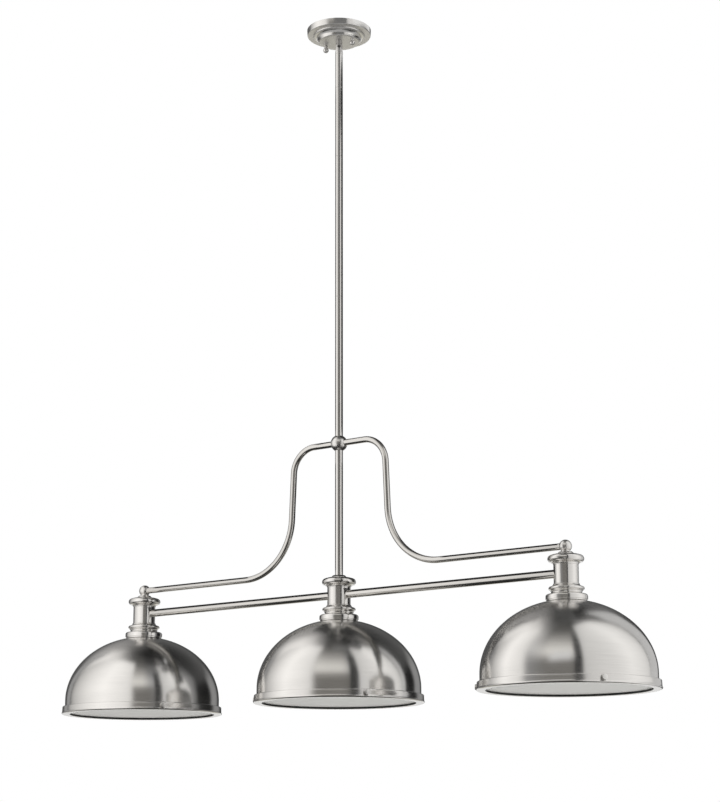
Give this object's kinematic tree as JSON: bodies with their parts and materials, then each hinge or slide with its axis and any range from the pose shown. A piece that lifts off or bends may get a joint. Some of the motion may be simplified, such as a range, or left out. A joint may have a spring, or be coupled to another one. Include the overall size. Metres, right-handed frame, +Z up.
{
  "type": "billiard pendant light",
  "caption": "Pendant light for a billiard table: metal dome shades in a row on a straight bar, bent stay arms, long rod, tilting swivel and round canopy; drop rings hold flat opal diffusers.",
  "frame": {"origin": "on the ceiling plane, on the canopy axis, midway between the ceiling box screws", "axes": "+Z up, +X along the bar and the crossbar, +Y across the bar"},
  "size_m": [1.3779, 0.3416, 1.416],
  "materials": {
    "shade_nickel": "circumferentially brushed satin nickel",
    "ring_nickel": "circumferentially brushed satin nickel",
    "turned_nickel": "turned satin nickel",
    "tube_nickel": "lengthwise brushed satin nickel",
    "polished_nickel": "bright nickel",
    "brass_fittings": "turned brass",
    "zinc_steel": "zinc plated steel",
    "earth_green": "green painted screw",
    "holder_moulding": "black moulding",
    "opal_glass": "satin opal glass",
    "lamp_glass": "frosted lamp glass"
  },
  "bodies": {
    "ceiling_mount": {"crossbar": "zinc_steel", "crossbar_studs": "zinc_steel", "canopy": "turned_nickel", "ground_screw": "earth_green"},
    "knob_left": {"canopy_knob_left": "polished_nickel"},
    "knob_right": {"canopy_knob_right": "polished_nickel"},
    "swivel": {"swivel_stem": "turned_nickel", "swivel_locknut": "brass_fittings"},
    "ring_left": {"retaining_ring_left": "ring_nickel", "diffuser_left": "opal_glass"},
    "screw_left_front": {"thumbscrew_left_front": "polished_nickel"},
    "screw_left_side": {"thumbscrew_left_side": "polished_nickel"},
    "screw_left_rear": {"thumbscrew_left_rear": "polished_nickel"},
    "ring_center": {"retaining_ring_center": "ring_nickel", "diffuser_center": "opal_glass"},
    "screw_center_front": {"thumbscrew_center_front": "polished_nickel"},
    "screw_center_side": {"thumbscrew_center_side": "polished_nickel"},
    "screw_center_rear": {"thumbscrew_center_rear": "polished_nickel"},
    "ring_right": {"retaining_ring_right": "ring_nickel", "diffuser_right": "opal_glass"},
    "screw_right_front": {"thumbscrew_right_front": "polished_nickel"},
    "screw_right_side": {"thumbscrew_right_side": "polished_nickel"},
    "screw_right_rear": {"thumbscrew_right_rear": "polished_nickel"},
    "pendant": {"arm_left": "tube_nickel", "arm_right": "tube_nickel", "bar_left": "tube_nickel", "bar_right": "tube_nickel", "bulb_center": "lamp_glass", "bulb_left": "lamp_glass", "bulb_right": "lamp_glass", "center_ball": "turned_nickel", "end_ball_left": "turned_nickel", "end_ball_right": "turned_nickel", "fitter_barrel_center": "turned_nickel", "fitter_barrel_left": "turned_nickel", "fitter_barrel_right": "turned_nickel", "fitter_base_center": "turned_nickel", "fitter_base_left": "turned_nickel", "fitter_base_right": "turned_nickel", "fitter_cap_center": "turned_nickel", "fitter_cap_left": "turned_nickel", "fitter_cap_right": "turned_nickel", "lampholder_center": "holder_moulding", "lampholder_left": "holder_moulding", "lampholder_right": "holder_moulding", "lower_rod": "tube_nickel", "rod_couplers": "brass_fittings", "rod_long_lower": "tube_nickel", "rod_long_upper": "tube_nickel", "rod_medium": "tube_nickel", "rod_short": "tube_nickel", "screw_shells": "brass_fittings", "shade_center": "shade_nickel", "shade_left": "shade_nickel", "shade_right": "shade_nickel", "socket_locknuts": "brass_fittings", "socket_nipples": "brass_fittings", "swivel_pin": "polished_nickel", "swivel_yoke": "turned_nickel"}
  },
  "joints": [
    {"name": "canopy_swivel_turn", "type": "hinge", "parent": "ceiling_mount", "child": "swivel", "pos_m": [0, 0, -0.0285], "axis": [0, 0, 1], "range_deg": [-175, 175]},
    {"name": "rod_tilt", "type": "hinge", "parent": "swivel", "child": "pendant", "pos_m": [0, 0, -0.0375], "axis": [-0.6004, 0.7997, 0], "range_deg": [-45, 45]},
    {"name": "knob_left_turn", "type": "hinge", "parent": "ceiling_mount", "child": "knob_left", "pos_m": [-0.03492, 0, -0.033], "axis": [0, 0, 1], "continuous": true},
    {"name": "knob_right_turn", "type": "hinge", "parent": "ceiling_mount", "child": "knob_right", "pos_m": [0.03492, 0, -0.033], "axis": [0, 0, 1], "continuous": true},
    {"name": "ring_left_drop", "type": "slide", "parent": "pendant", "child": "ring_left", "axis": [0, 0, -1], "range_m": [0, 0.06]},
    {"name": "screw_left_front_turn", "type": "hinge", "parent": "ring_left", "child": "screw_left_front", "pos_m": [-0.38054, -0.09172, -1.4065], "axis": [0.8368, -0.5476, 0], "continuous": true},
    {"name": "screw_left_side_turn", "type": "hinge", "parent": "ring_left", "child": "screw_left_side", "pos_m": [-0.67021, -0.07552, -1.4065], "axis": [-0.8926, -0.4509, 0], "continuous": true},
    {"name": "screw_left_rear_turn", "type": "hinge", "parent": "ring_left", "child": "screw_left_rear", "pos_m": [-0.51135, 0.16724, -1.4065], "axis": [0.0558, 0.9984, 0], "continuous": true},
    {"name": "ring_center_drop", "type": "slide", "parent": "pendant", "child": "ring_center", "axis": [0, 0, -1], "range_m": [0, 0.06]},
    {"name": "screw_center_front_turn", "type": "hinge", "parent": "ring_center", "child": "screw_center_front", "pos_m": [0.13721, -0.09607, -1.4065], "axis": [0.8192, -0.5736, 0], "continuous": true},
    {"name": "screw_center_side_turn", "type": "hinge", "parent": "ring_center", "child": "screw_center_side", "pos_m": [-0.15181, -0.07079, -1.4065], "axis": [-0.9063, -0.4226, 0], "continuous": true},
    {"name": "screw_center_rear_turn", "type": "hinge", "parent": "ring_center", "child": "screw_center_rear", "pos_m": [0.0146, 0.16686, -1.4065], "axis": [0.0872, 0.9962, 0], "continuous": true},
    {"name": "ring_right_drop", "type": "slide", "parent": "pendant", "child": "ring_right", "axis": [0, 0, -1], "range_m": [0, 0.06]},
    {"name": "screw_right_front_turn", "type": "hinge", "parent": "ring_right", "child": "screw_right_front", "pos_m": [0.65179, -0.10427, -1.4065], "axis": [0.7826, -0.6225, 0], "continuous": true},
    {"name": "screw_right_side_turn", "type": "hinge", "parent": "ring_right", "child": "screw_right_side", "pos_m": [0.36485, -0.06139, -1.4065], "axis": [-0.9304, -0.3665, 0], "continuous": true},
    {"name": "screw_right_rear_turn", "type": "hinge", "parent": "ring_right", "child": "screw_right_rear", "pos_m": [0.54546, 0.16566, -1.4065], "axis": [0.1478, 0.989, 0], "continuous": true}
  ]
}
